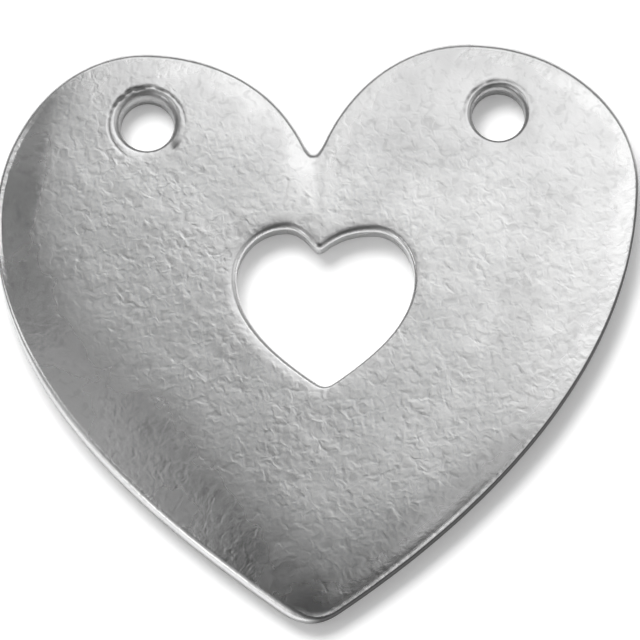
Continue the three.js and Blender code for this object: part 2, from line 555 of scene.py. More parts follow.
@dataclass(frozen=True)
class CastRelief:
    """The unevenness that casting and tumbling leave on the front face.

    Attributes:
        swell: The height of the broad waves.
        swell_size: Their length.
        swell_shift: Where their pattern starts.
        lump: The height of the lumps that a finger can feel.
        lump_size: Their length.
        rubbed_off: The share of the lumps that rubbing takes away.
        wobble: How far the edges wander sideways.
        wobble_size: The length over which they do.
    """

    swell: float = 0.012
    swell_size: float = 4.5
    swell_shift: tuple[float, float, float] = (3.1, 7.7, 0)
    lump: float = 0.004
    lump_size: float = 0.9
    rubbed_off: float = 0.75
    wobble: float = 0.01
    wobble_size: float = 1.6

    def lift(self, place: Vector, burnish: float) -> float:
        """How far the face stands off at a place.

        Args:
            place: The place on the face.
            burnish: How smooth it has been rubbed.

        Returns:
            The move along Z.
        """
        wave = noise.fractal(place / self.swell_size + Vector(self.swell_shift), 1.0, 2.0, 2)
        lump = noise.fractal(place / self.lump_size, 0.9, 2.1, 3)
        return self.swell * wave + self.lump * lump * (1 - self.rubbed_off * burnish)

    def sway(self, place: Vector) -> Vector:
        """How far an edge wanders sideways at a place."""
        return noise.noise_vector(place / self.wobble_size) * self.wobble


@dataclass(frozen=True)
class Ring:
    """One closed row of corners round the plate.

    Attributes:
        blend: Where each corner lies between the edge's bore line, 0, and its face line, 1.
        height: The height above the back.
        rise: The share of the face's own rise and fall that it follows.
        worn: Whether it belongs to the front rounding, which is smaller where the edge is less worn.
    """

    blend: float
    height: float
    rise: float
    worn: bool = False


LEFT_RIM = EdgeWear(0.13, ((0.25, Facing(280)),))


@dataclass
class HeartPlate:
    """The charm's plate: a crowned heart with a heart-shaped cut-out and two round holes.

    Attributes:
        cutout_offset: How far the cut-out lies to the right.
        notch_web: The metal between the two notches.
        shoulder_depth: How far the front sinks beside the openings.
        shoulder_start: How far from an opening it is sunk most.
        shoulder_reach: How far beyond that it sinks.
        hole_lip: How far inside its rim the painted shade in a hole starts.
        edge_calm: How far the outline calms the cast relief.
        rim_calm: How far an opening does.
        calm_share: The share of the relief that is left there.
        collar: The width of the even rings round a hole.
        relax_rounds: How often the corners round a new opening are eased.
        relax_reach: How far from it they are.
        back_facing: The rise of a normal below which the back's metal starts.
    """

    outline: HeartCurve = PLATE_OUTLINE
    cutout: HeartCurve = CUTOUT_OUTLINE
    steps: LoopSteps = LoopSteps()
    cutout_offset: float = 0.35
    notch_web: float = 3.5
    front_edge: EdgeWear = EdgeWear(0.07, ((0.3, Facing(234, 9)), (0.2, Facing(85, 2.5))))
    back_radius: float = 0.2
    cutout_front_edge: EdgeWear = EdgeWear(0.12, ((0.18, Facing(315, 1.2)),))
    cutout_back_radius: float = 0.12
    shoulder_depth: float = 0.012
    shoulder_start: float = 0.15
    shoulder_reach: float = 0.22
    holes: tuple[RoundHole, ...] = (
        RoundHole(-6.7, 2.9, Side.LEFT, front_edge=LEFT_RIM, steepness=2.2, marks=(
            RimMark(0.016, -0.06, 0.05, Facing(203, 8), 0.3),
            RimMark(-0.012, 0.08, 0.05, Facing(190, 8), 0.5),
            RimMark(-0.045, 0.04, 0.09, Facing(112, 9), 1.4),
            RimMark(-0.014, 0.05, 0.045, Facing(45, 8), 0.8),
            RimMark(-0.05, -0.1, 0.12, Facing(322, 160)),
        )),
        RoundHole(7.2, 2.9, Side.RIGHT, marks=(
            RimMark(-0.02, 0.02, 0.07, Facing(118, 3), 0.5),
        )),
    )
    hole_lip: float = 0.03
    # Painted shade on the wall on the shadow side and inside the holes, and darker torn hollows.
    painted_shade_and_hollows: PaintedShadeAndHollows = PaintedShadeAndHollows()
    crown: Crown = Crown()
    facets: tuple[Facet, ...] = (
        Facet((-10.5, 20.95), 171, 0.06, 0.1, 12.0, 16.5),
        Facet((-10.7, 20.6), 152, 0.1, 0.15, 18.3, 20.3),
        Facet((1.0, 2.4), 312, 0.06, 0.2, 9.0, 4.5),
    )
    burnish: Burnish = Burnish()
    relief: CastRelief = CastRelief()
    edge_calm: float = 0.5
    rim_calm: float = 0.3
    calm_share: float = 0.25
    front_cuts: int = 88
    back_cuts: int = 14
    front_edge_steps: int = 8
    back_edge_steps: int = 3
    wall_steps: int = 3
    collar: float = 0.3
    collar_steps: int = 10
    relax_rounds: int = 14
    relax_reach: float = 0.7
    back_facing: float = -0.9
    low: Vector = field(init=False)
    high: Vector = field(init=False)

    def __post_init__(self) -> None:
        """Takes the plate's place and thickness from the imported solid."""
        self.low, self.high = (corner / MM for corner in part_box(NODE))

    @property
    def thickness(self) -> float:
        """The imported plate's thickness."""
        return self.high.z - self.low.z

    @property
    def origin(self) -> Vector:
        """Where the outline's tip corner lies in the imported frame."""
        tallest = max(self.outline.left.lobe_height, self.outline.right.lobe_height)
        middle = (self.low.x + self.high.x) / 2
        return Vector((middle, self.high.y - tallest, self.low.z))

    @property
    def middle(self) -> Vector:
        """The plate's middle, from the outline's tip corner."""
        return Vector((self.outline.tip_offset, (self.high.y - self.low.y) / 2, 0))

    @property
    def cutout_place(self) -> Vector:
        """Where the cut-out's tip corner lies, from the outline's."""
        height = self.outline.notch_height - self.notch_web - self.cutout.notch_height
        return Vector((self.cutout_offset, height, 0))

    def build(self) -> bpy.types.Object:
        """Shapes the plate and makes it an object.

        Returns:
            The plate, in metres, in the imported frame.
        """
        bm = bmesh.new()
        self._raise_body(bm)
        surface = BVHTree.FromBMesh(bm)
        for hole in self.holes:
            self._pierce(bm, hole, surface)
        bmesh.ops.recalc_face_normals(bm, faces=bm.faces)
        bm.normal_update()
        self._age(bm)
        bmesh.ops.translate(bm, verts=bm.verts, vec=self.origin)
        bmesh.ops.scale(bm, verts=bm.verts, vec=(MM, MM, MM))
        lowest = (self.low.z + self.back_radius) * MM
        for face in bm.faces:
            face.smooth = True
            face.material_index = int(
                face.normal.z < self.back_facing and face.calc_center_median().z < lowest
            )
        return add_mesh("charm_plate", bm)

    def _raise_body(self, bm: BMesh) -> None:
        """Draws the plate without its round holes, ring by ring, from its back edge round to its back.

        Args:
            bm: The empty mesh that receives the plate.
        """
        place = self.cutout_place
        outer = self.outline.loop(self.steps), self.outline.grown(-self.front_edge.most).loop(self.steps)
        inner = tuple(
            [point + place for point in curve.loop(self.steps)]
            for curve in (self.cutout, self.cutout.grown(self.cutout_front_edge.most))
        )
        outer_ways, inner_ways = (self._outwards(lines[1]) for lines in (outer, inner))
        outer_wear = [self.front_edge.share(way) for way in outer_ways]
        inner_wear = [self.cutout_front_edge.share(-way) for way in inner_ways]
        face_line = [bore.lerp(face, size) for bore, face, size in zip(*outer, outer_wear)]
        falls = [
            -self.crown.fall(point - self.middle, 0, point.y)
            - sum(facet.fall(point) for facet in self.facets)
            for point in face_line
        ]
        level = [0.0] * len(falls)
        outer_rings = self._edge_rings(self.front_edge.most, self.back_radius)
        inner_rings = self._edge_rings(self.cutout_front_edge.most, self.cutout_back_radius)[::-1]
        circle = bmesh.ops.create_circle(bm, segments=len(outer[0]), radius=1)["verts"]
        ring = first = sorted(circle, key=lambda vert: vert.index)
        self._place(ring, outer, outer_rings[0], falls, outer_wear)
        for station in outer_rings[1:]:
            ring = self._extrude(bm, ring)
            self._place(ring, outer, station, falls, outer_wear)
        face_start = ring
        ring = self._extrude(bm, ring)
        self._place(ring, inner, inner_rings[0], level, inner_wear)
        face_edges = self._spokes(bm, face_start, ring)
        for station in inner_rings[1:]:
            ring = self._extrude(bm, ring)
            self._place(ring, inner, station, level, inner_wear)
        closing = self._extrude(bm, ring)
        bmesh.ops.weld_verts(bm, targetmap=dict(zip(closing, first)))
        back_edges = self._spokes(bm, first, ring)
        bmesh.ops.subdivide_edges(bm, edges=back_edges, cuts=self.back_cuts, use_grid_fill=True)
        face = bmesh.ops.subdivide_edges(bm, edges=face_edges, cuts=self.front_cuts, use_grid_fill=True)
        within = [item for item in face["geom_inner"] if isinstance(item, BMVert)]
        self._crown(bm, within, face_line)

    def _edge_rings(self, front: float, back: float) -> list[Ring]:
        """The rings of an edge, from the back up to the face.

        Args:
            front: How far the front rounding reaches where it is largest.
            back: How far the back rounding reaches.

        Returns:
            The rings, each with its share of the way from the bore line to the face line.
        """
        rings, top = [], self.thickness
        for step in range(self.back_edge_steps + 1):
            turn = step / self.back_edge_steps * math.pi / 2
            rings.append(Ring((1 - math.sin(turn)) * back / front, back * (1 - math.cos(turn)), 0))
        for step in range(1, self.wall_steps):
            share = step / self.wall_steps
            rings.append(Ring(0, back + (top - front - back) * share, share))
        for step in range(self.front_edge_steps + 1):
            turn = step / self.front_edge_steps * math.pi / 2
            rings.append(Ring(1 - math.cos(turn), top - front * (1 - math.sin(turn)), 1, True))
        return rings

    @staticmethod
    def _outwards(line: list[Vector]) -> list[Vector]:
        """The direction out of a clockwise line at each of its points."""
        ways = [after - before for before, after in zip(line[-1:] + line[:-1], line[1:] + line[:1])]
        return [Vector((-way.y, way.x, 0)) for way in ways]

    def _place(
        self, ring: list, lines: tuple[list[Vector], list[Vector]], station: Ring,
        lifts: list[float], wear: list[float],
    ) -> None:
        """Puts a ring's corners between an edge's bore line and its face line.

        Args:
            ring: The corners.
            lines: The bore line and the face line.
            station: Where the ring lies on the edge.
            lifts: How far the face lies above its usual height at each corner.
            wear: The front rounding's size at each corner, as a share of its largest.
        """
        for vert, bore, face, lift, size in zip(ring, *lines, lifts, wear):
            share = size if station.worn else 1
            vert.co = bore.lerp(face, station.blend * share)
            vert.co.z = self.thickness - (self.thickness - station.height) * share + station.rise * lift

    @staticmethod
    def _edges(bm: BMesh, ring: list) -> list:
        """The edges along a closed ring."""
        return [bm.edges.get(pair) for pair in zip(ring, ring[1:] + ring[:1])]

    @staticmethod
    def _spokes(bm: BMesh, start: list, end: list) -> list:
        """The edges that join two neighbouring rings."""
        spokes = [bm.edges.get(pair) for pair in zip(start, end)]
        if None in spokes:
            raise RuntimeError("two rings are joined out of step")
        return spokes

    def _extrude(self, bm: BMesh, ring: list) -> list:
        """Extrudes a closed ring and returns the new one, corner by corner in the same order."""
        made = bmesh.ops.extrude_edge_only(bm, edges=self._edges(bm, ring))["geom"]
        fresh = {item for item in made if isinstance(item, BMVert)}
        return [
            next(other for edge in vert.link_edges if (other := edge.other_vert(vert)) in fresh)
            for vert in ring
        ]

    def _crown(self, bm: BMesh, verts: list, line: list[Vector]) -> None:
        """Lets the face fall away towards the outline.

        Args:
            bm: The plate's mesh.
            verts: The corners of the front face.
            line: The line where the face meets the outline's rounded edge.
        """
        tree = self._tree(line)
        for vert in verts:
            flat = Vector((vert.co.x, vert.co.y, 0))
            from_edge = tree.find(flat)[2]
            vert.co.z = self.thickness - self.crown.fall(flat - self.middle, from_edge, flat.y)
        for _ in range(self.crown.ease):
            bmesh.ops.smooth_vert(bm, verts=verts, factor=0.5, use_axis_z=True)
        for vert in verts:
            vert.co.z -= sum(facet.fall(vert.co) for facet in self.facets)

    def _age(self, bm: BMesh) -> None:
        """Gives the front its cast unevenness, and marks where it is rubbed and where it is painted dark:
        painted shade and darker torn hollows.

        Args:
            bm: The pierced plate.
        """
        burnished = bm.verts.layers.float.new("burnish")
        shade_and_hollows = bm.verts.layers.float.new("painted_shade_and_hollows")
        line = self.outline.loop(self.steps)
        border, ways = self._tree(line), self._outwards(line)
        opening = self._tree([point + self.cutout_place for point in self.cutout.loop(self.steps)])
        centres = [self._hole_centre(hole) for hole in self.holes]
        middle = self.thickness / 2
        for vert in bm.verts:
            flat = Vector((vert.co.x, vert.co.y, 0))
            _, nearest, from_edge = border.find(flat)
            holes = [(hole, flat - centre) for hole, centre in zip(self.holes, centres)]
            from_holes = [away.length - hole.diameter / 2 for hole, away in holes]
            from_opening = min(opening.find(flat)[2], *from_holes)
            marked = sum(mark.lift(away, hole.rim) for hole, away in holes for mark in hole.marks)
            in_hole = any(away.length < hole.rim - self.hole_lip for hole, away in holes)
            vert[burnished] = self.burnish.share(flat, flat - self.middle, from_edge, from_opening)
            # Painted shade on the wall on the shadow side and inside the holes, and darker torn hollows.
            vert[shade_and_hollows] = self.painted_shade_and_hollows.share(vert.normal.z, ways[nearest], from_edge, -marked, in_hole)
            raised = smooth_step(0, middle, vert.co.z)
            ease = smooth_step(0, self.edge_calm, from_edge) * smooth_step(0, self.rim_calm, from_opening)
            lift = self.relief.lift(flat, vert[burnished])
            lift *= self.calm_share + (1 - self.calm_share) * ease
            lift += marked
            beyond = max(0.0, from_opening - self.shoulder_start) / self.shoulder_reach
            lift -= self.shoulder_depth * math.exp(-beyond ** 2)
            vert.co.z += raised * lift
            vert.co.xy += self.relief.sway(flat).xy * (1 - ease) * raised

    @staticmethod
    def _tree(points: list[Vector]) -> KDTree:
        """A tree that finds the nearest of some points."""
        tree = KDTree(len(points))
        for index, point in enumerate(points):
            tree.insert(point, index)
        tree.balance()
        return tree

    def _hole_centre(self, hole: RoundHole) -> Vector:
        """A hole's centre, from the outline's tip corner."""
        half = self.outline.half(hole.side)
        return Vector((hole.offset, half.lobe_height - hole.below_lobe_top, 0))

    def _pierce(self, bm: BMesh, hole: RoundHole, surface: BVHTree) -> None:
        """Opens one round hole through the plate, with a rounded rim on either face.

        Args:
            bm: The plate's mesh.
            hole: The hole to open.
            surface: The plate's unpierced surface.
        """
        centre = self._hole_centre(hole)
        bore = hole.diameter / 2
        front = self._open_face(bm, centre, hole.rim + self.collar, Face.FRONT, surface)
        back = self._open_face(bm, centre, bore + hole.back_radius, Face.BACK, surface)
        ring = front
        for step in range(1, self.collar_steps + 1):
            ring = self._extrude(bm, ring)
            for vert in ring:
                self._set_reach(vert, centre, hole.rim + self.collar * (1 - step / self.collar_steps))
                self._settle(vert, Face.FRONT, surface)
        heights = [vert.co.z for vert in ring]
        radii = [hole.front_edge.most * hole.front_edge.share(centre - vert.co) for vert in ring]
        for step in range(self.front_edge_steps + 1):
            turn = step / self.front_edge_steps * math.pi / 2
            ring = self._extrude(bm, ring)
            for vert, height, radius in zip(ring, heights, radii):
                self._set_reach(vert, centre, bore + radius * (1 - math.sin(turn)))
                vert.co.z = height - hole.steepness * radius * (1 - math.cos(turn))
        top = [height - hole.steepness * radius for height, radius in zip(heights, radii)]
        for step in range(1, self.wall_steps + 1):
            ring = self._extrude(bm, ring)
            for vert, height in zip(ring, top):
                vert.co.z = height + (hole.back_radius - height) * step / self.wall_steps
        for step in range(1, self.back_edge_steps):
            turn = step / self.back_edge_steps * math.pi / 2
            ring = self._extrude(bm, ring)
            for vert in ring:
                self._set_reach(vert, centre, bore + hole.back_radius * (1 - math.cos(turn)))
                vert.co.z = hole.back_radius * (1 - math.sin(turn))
        bmesh.ops.bridge_loops(bm, edges=self._edges(bm, ring) + self._edges(bm, back))

    def _open_face(
        self, bm: BMesh, centre: Vector, radius: float, face: Face, surface: BVHTree
    ) -> list:
        """Opens one face inside a circle and draws the faces round it evenly.

        Args:
            bm: The plate's mesh.
            centre: The circle's centre.
            radius: The circle's radius.
            face: The face that is opened.
            surface: The plate's unpierced surface.

        Returns:
            The corners on the circle, in order.
        """
        middle = self.thickness / 2
        inside = [
            item for item in bm.faces
            if (item.calc_center_median().z > middle) is (face is Face.FRONT)
            and (item.calc_center_median() - centre).xy.length < radius
        ]
        bmesh.ops.delete(bm, geom=inside, context="FACES")
        reach = radius + self.relax_reach
        near = [
            vert for vert in bm.verts
            if (vert.co.z > middle) is (face is Face.FRONT) and (vert.co - centre).xy.length < reach
        ]
        open_verts = (vert for vert in near if vert.is_boundary)
        ring = self._walk(sorted(open_verts, key=lambda vert: vert.co.x))
        first, second = ((vert.co - centre).xy for vert in ring[:2])
        start = math.atan2(first.y, first.x)
        turn = math.copysign(2 * math.pi / len(ring), first.cross(second))
        for index, vert in enumerate(ring):
            angle = start + index * turn
            vert.co.xy = centre.xy + Vector((math.cos(angle), math.sin(angle))) * radius
        free = [vert for vert in near if not vert.is_boundary]
        for _ in range(self.relax_rounds):
            bmesh.ops.smooth_vert(bm, verts=free, factor=0.5, use_axis_x=True, use_axis_y=True)
        for vert in near:
            self._settle(vert, face, surface)
        return ring

    def _settle(self, vert: BMVert, face: Face, surface: BVHTree) -> None:
        """Puts a corner on one face of the unpierced plate, straight up or down from its place."""
        sign = 1 if face is Face.FRONT else -1
        start = Vector((vert.co.x, vert.co.y, 2 * sign * self.thickness))
        vert.co.z = surface.ray_cast(start, Vector((0, 0, -sign)))[0].z

    @staticmethod
    def _walk(verts: list) -> list:
        """Orders the corners of one open boundary, each next to the one before."""
        ring, rest = [verts[0]], set(verts[1:])
        while rest:
            ahead = [
                other for edge in ring[-1].link_edges
                if edge.is_boundary and (other := edge.other_vert(ring[-1])) in rest
            ]
            if not ahead:
                raise RuntimeError("a hole's boundary isn't one ring")
            ring.append(ahead[0])
            rest.remove(ahead[0])
        return ring

    @staticmethod
    def _set_reach(vert: object, centre: Vector, radius: float) -> None:
        """Moves a corner to a distance from an upright axis."""
        vert.co.xy = centre.xy + (vert.co - centre).xy.normalized() * radius


class NodeSheet:
    """Adds nodes to a node tree and joins them."""

    def __init__(self, tree: bpy.types.NodeTree) -> None:
        """Works on one tree."""
        self.tree = tree

    def add(self, kind: str, settings: dict | None = None, **inputs: object) -> bpy.types.Node:
        """Adds a node.

        Args:
            kind: The node's type, without its leading words.
            settings: The node's own properties.
            inputs: A value or another node's output for each input, by its name in lower case with
                underscores, or by its number after the letter n.

        Returns:
            The new node.
        """
        node = self.tree.nodes.new("ShaderNode" + kind)
        for name, value in (settings or {}).items():
            setattr(node, name, value)
        for name, value in inputs.items():
            self.set(self._socket(node, name), value)
        return node

    def set(self, socket: NodeSocket, value: object) -> None:
        """Gives an input a value, or joins another node's output to it."""
        if isinstance(value, NodeSocket):
            self.tree.links.new(value, socket)
        else:
            socket.default_value = value

    def math(self, operation: str, *values: object) -> NodeSocket:
        """Adds a sum and returns its result."""
        node = self.add("Math", {"operation": operation})
        for socket, value in zip(node.inputs, values):
            self.set(socket, value)
        return node.outputs[0]

    def noise(self, place: NodeSocket, scale: float, **inputs: float) -> NodeSocket:
        """Adds a noise and returns its value."""
        return self.add("TexNoise", vector=place, scale=scale, **inputs).outputs[0]

    def mark(self, name: str) -> NodeSocket:
        """Reads one of the mesh's own marks."""
        return self.add("Attribute", {"attribute_name": name}).outputs["Fac"]

    def blend(self, share: object, *greys: object) -> NodeSocket:
        """Blends two greys or colours and returns the result."""
        first, second = ((grey, grey, grey, 1) if isinstance(grey, float) else grey for grey in greys)
        node = self.add("Mix", {"data_type": "RGBA", "clamp_factor": True}, n0=share, n6=first, n7=second)
        return node.outputs[2]

    def rays(self) -> tuple[NodeSocket, NodeSocket]:
        """Tells the rays from the camera, and those that a surface mirrors or lets through."""
        path = self.add("LightPath").outputs
        mirrored = self.math("MAXIMUM", path["Is Glossy Ray"], path["Is Transmission Ray"])
        return path["Is Camera Ray"], mirrored

    def spread(
        self, value: object, low: float, high: float, start: float, end: float
    ) -> NodeSocket:
        """Turns one span of values smoothly into another and returns the result."""
        node = self.add(
            "MapRange", {"interpolation_type": "SMOOTHSTEP"},
            value=value, from_min=low, from_max=high, to_min=start, to_max=end,
        )
        return node.outputs["Result"]

    @staticmethod
    def _socket(node: bpy.types.Node, name: str) -> NodeSocket:
        """Finds an input by its name or its number."""
        if name[0] == "n" and name[1:].isdigit():
            return node.inputs[int(name[1:])]
        wanted = name.replace("_", " ")
        return next(socket for socket in node.inputs if socket.name.lower() == wanted)


def new_group(name: str, inputs: dict[str, float], outputs: tuple[str, ...]) -> NodeSheet:
    """Makes an empty node group with named number sockets.

    Args:
        name: The group's name.
        inputs: The inputs and their usual values.
        outputs: The outputs.

    Returns:
        A sheet on the group, with its two end nodes named start and end.
    """
    tree = bpy.data.node_groups.new(name, "ShaderNodeTree")
    for label, value in inputs.items():
        socket = tree.interface.new_socket(label, in_out="INPUT", socket_type="NodeSocketFloat")
        socket.default_value = value
    for label in outputs:
        tree.interface.new_socket(label, in_out="OUTPUT", socket_type="NodeSocketFloat")
    tree.nodes.new("NodeGroupInput").name = "start"
    tree.nodes.new("NodeGroupOutput").name = "end"
    return NodeSheet(tree)


@dataclass(frozen=True)
class CastGrain:
    """The fine curled grain of a metal cast in a rubber mould. Its scales are counts per millimetre.

    Attributes:
        worm_share: The height of its curls, against that of its lumps.
        worm_crest: How round their crests are.
        worm_middle: Their mean height.
        fine_share: The height of the finest grain, against that of the lumps.
        curl: How much the noise is curled.
        patch: The noise between which its strength changes.
        patch_strength: Its least and its greatest strength.
        hollow: The noise at which a hollow starts and is deepest.
    """

    worm_scale: float = 2.0
    lump_scale: float = 3.1
    fine_scale: float = 7.0
    patch_scale: float = 1.3
    worm_share: float = 0.7
    worm_crest: float = 0.03
    worm_middle: float = 0.09
    fine_share: float = 0.08
    curl: float = 0.6
    patch: tuple[float, float] = (0.35, 0.65)
    patch_strength: tuple[float, float] = (0.7, 1.15)
    hollow: tuple[float, float] = (0.47, 0.3)

    def build(self) -> bpy.types.NodeTree:
        """Makes the group, which gives a height and a mask of the hollows from a burnish."""
        sheet = new_group("cast_grain", {"Burnish": 0.0, "Keep": 0.25}, ("Height", "Hollows"))
        start, end = sheet.tree.nodes["start"], sheet.tree.nodes["end"]
        place = sheet.add("TexCoord").outputs["Object"]
        scaled = sheet.add("VectorMath", {"operation": "SCALE"}, n0=place, scale=1 / MM).outputs[0]
        worms = sheet.noise(scaled, self.worm_scale, detail=1.0, distortion=self.curl)
        worms = sheet.math("SUBTRACT", worms, NOISE_MIDDLE)
        worms = sheet.math("MULTIPLY_ADD", worms, worms, self.worm_crest ** 2)
        worms = sheet.math("SUBTRACT", self.worm_middle, sheet.math("SQRT", worms))
        lumps = sheet.noise(scaled, self.lump_scale, detail=1.5, distortion=self.curl)
        fine = sheet.math("SUBTRACT", sheet.noise(scaled, self.fine_scale, detail=2.0), NOISE_MIDDLE)
        broad = sheet.noise(scaled, self.patch_scale, detail=1.0)
        height = sheet.math("SUBTRACT", lumps, NOISE_MIDDLE)
        height = sheet.math("MULTIPLY_ADD", worms, self.worm_share, height)
        height = sheet.math("MULTIPLY_ADD", fine, self.fine_share, height)
        patchy = sheet.spread(broad, *self.patch, *self.patch_strength)
        lost = sheet.math("SUBTRACT", 1.0, start.outputs["Keep"])
        kept = sheet.math("SUBTRACT", 1.0, sheet.math("MULTIPLY", start.outputs["Burnish"], lost))
        height = sheet.math("MULTIPLY", sheet.math("MULTIPLY", height, patchy), kept)
        sheet.set(end.inputs["Height"], height)
        hollows = sheet.math("MULTIPLY", sheet.spread(lumps, *self.hollow, 0.0, 1.0), kept)
        sheet.set(end.inputs["Hollows"], hollows)
        return sheet.tree


@dataclass(frozen=True)
class CastMetal:
    """The plate's metal: neutral grey, satin where it is as cast and smoother where it is rubbed.

    Attributes:
        bright: The grey of the clean metal.
        dull: The grey of the film in its hollows.
        cast_roughness: The roughness where it is as cast.
        rubbed_roughness: The roughness where it is rubbed smooth.
        rubbing: The burnish between which the one becomes the other.
        grain_depth: The depth of the grain, in metres.
        keep: The share of the grain that rubbing leaves.
        cloud_scale: How many clouds a metre holds.
        film: The noise between which a cloud shows its film.
        film_share: How much of the film the clouds show.
        hollow_share: How much of it the hollows show.
        patch: The noise between which the roughness changes.
        patch_roughness: The least and the greatest change.
        painted_shade_and_hollows: The grey of the painted shade and of the darker torn hollows.
        shade_and_hollows_roughness: How much rougher the surface is where it is painted dark.
    """

    name: str
    bright: float = 0.76
    dull: float = 0.5
    cast_roughness: float = 0.3
    rubbed_roughness: float = 0.25
    rubbing: tuple[float, float] = (0.1, 0.9)
    grain_depth: float = 1.35e-5
    keep: float = 0.7
    cloud_scale: float = 420
    film: tuple[float, float] = (0.4, 0.75)
    film_share: float = 0.2
    hollow_share: float = 0.35
    patch: tuple[float, float] = (0.3, 0.7)
    patch_roughness: tuple[float, float] = (-0.02, 0.04)
    painted_shade_and_hollows: float = 0.12
    shade_and_hollows_roughness: float = 0.3

    def build(self, grain: bpy.types.NodeTree) -> bpy.types.Material:
        """Makes the material.

        Args:
            grain: The node group of the cast grain.

        Returns:
            The material, whose mesh carries a burnish attribute and one for painted shade and darker torn
            hollows.
        """
        material = bpy.data.materials.new(self.name)
        material.use_nodes = True
        sheet = NodeSheet(material.node_tree)
        shader = material.node_tree.nodes["Principled BSDF"]
        shader.inputs["Metallic"].default_value = 1
        burnish, shade_and_hollows = sheet.mark("burnish"), sheet.mark("painted_shade_and_hollows")
        texture = sheet.add("Group", {"node_tree": grain}, burnish=burnish, keep=self.keep)
        cloud = sheet.noise(sheet.add("TexCoord").outputs["Object"], self.cloud_scale, detail=3.0)
        film = sheet.spread(cloud, *self.film, 0.0, self.film_share)
        film = sheet.math("MULTIPLY_ADD", texture.outputs["Hollows"], self.hollow_share, film)
        # Blends in the grey of the painted shade and of the darker torn hollows.
        colour = sheet.blend(shade_and_hollows, sheet.blend(film, self.bright, self.dull), self.painted_shade_and_hollows)
        sheet.set(shader.inputs["Base Color"], colour)
        rough = sheet.spread(burnish, *self.rubbing, self.cast_roughness, self.rubbed_roughness)
        rough = sheet.math("ADD", rough, sheet.spread(cloud, *self.patch, *self.patch_roughness))
        rough = sheet.math("MULTIPLY_ADD", shade_and_hollows, self.shade_and_hollows_roughness, rough)
        sheet.set(shader.inputs["Roughness"], rough)
        bump = sheet.add("Bump", height=texture.outputs["Height"], distance=self.grain_depth)
        sheet.set(shader.inputs["Normal"], bump.outputs[0])
        return material


FRONT_METAL = CastMetal("satin_pewter")
BACK_METAL = CastMetal(
    "cast_pewter_back", bright=0.62, dull=0.4, cast_roughness=0.42, rubbed_roughness=0.36,
    grain_depth=2.2e-5, keep=0.6, film_share=0.45, hollow_share=0.4,
)


@dataclass(frozen=True)
class SoftBox:
    """A rectangular studio lamp that points at the plate. A shiny one is mirrored in the metal."""

    name: str
    place: tuple[float, float, float]
    width: float
    height: float
    power: float
    target: tuple[float, float, float] = (0, 0, 0)
    shiny: bool = True

    @classmethod
    def overhead(cls, name: str, x: float, y: float, *sizes: float) -> "SoftBox":
        """A lamp close above one place, which points straight down."""
        return cls(name, (x, y, NEAR_HEIGHT), *sizes, target=(x, y, 0))

    def build(self) -> None:
        """Makes the lamp."""
        data = bpy.data.lights.new(self.name, "AREA")
        data.shape = "RECTANGLE"
        data.size = self.width * MM
        data.size_y = self.height * MM
        data.energy = self.power
        lamp = add_object(self.name, data)
        place = Vector(self.place) * MM
        aim(lamp, place, Vector(self.target) * MM - place)
        lamp.visible_camera = False
        lamp.visible_glossy = self.shiny


@dataclass(frozen=True)
class WallGlow:
    """A soft bright place on the walls of the room.

    Attributes:
        tilt: The angle of its middle from straight up.
        azimuth: The direction of its middle, from +X.
        strength: How bright its middle is, where 1 is white.
        tightness: How fast it fades away from its middle.
    """

    tilt: float
    azimuth: float
    strength: float
    tightness: float = 8.0

    @property
    def axis(self) -> Vector:
        """The direction of its middle."""
        tilt, turn = math.radians(self.tilt), math.radians(self.azimuth)
        return Vector((math.sin(tilt) * math.cos(turn), math.sin(tilt) * math.sin(turn), math.cos(tilt)))


@dataclass(frozen=True)
class ViewCamera:
    """The camera, which looks down on the plate from in front of its tip.

    Attributes:
        scale: How many pixels a millimetre takes at the target, in a picture 640 pixels wide.
    """

    target: tuple[float, float, float] = (0.138, 0.485, 0.7)
    elevation: float = 80
    distance: float = 320
    scale: float = 25.35
    sensor: float = 36
    picture_width: int = 640

    def build(self) -> None:
        """Makes the camera and gives it to the scene."""
        data = bpy.data.cameras.new("camera")
        data.sensor_width = self.sensor
        data.lens = self.sensor * self.distance * self.scale / self.picture_width
        data.clip_start = self.distance * MM / 10
        camera = add_object("camera", data)
        rise = math.radians(self.elevation)
        back = Vector((0, -math.cos(rise), math.sin(rise)))
        aim(camera, (Vector(self.target) + back * self.distance) * MM, -back)
        bpy.context.scene.camera = camera


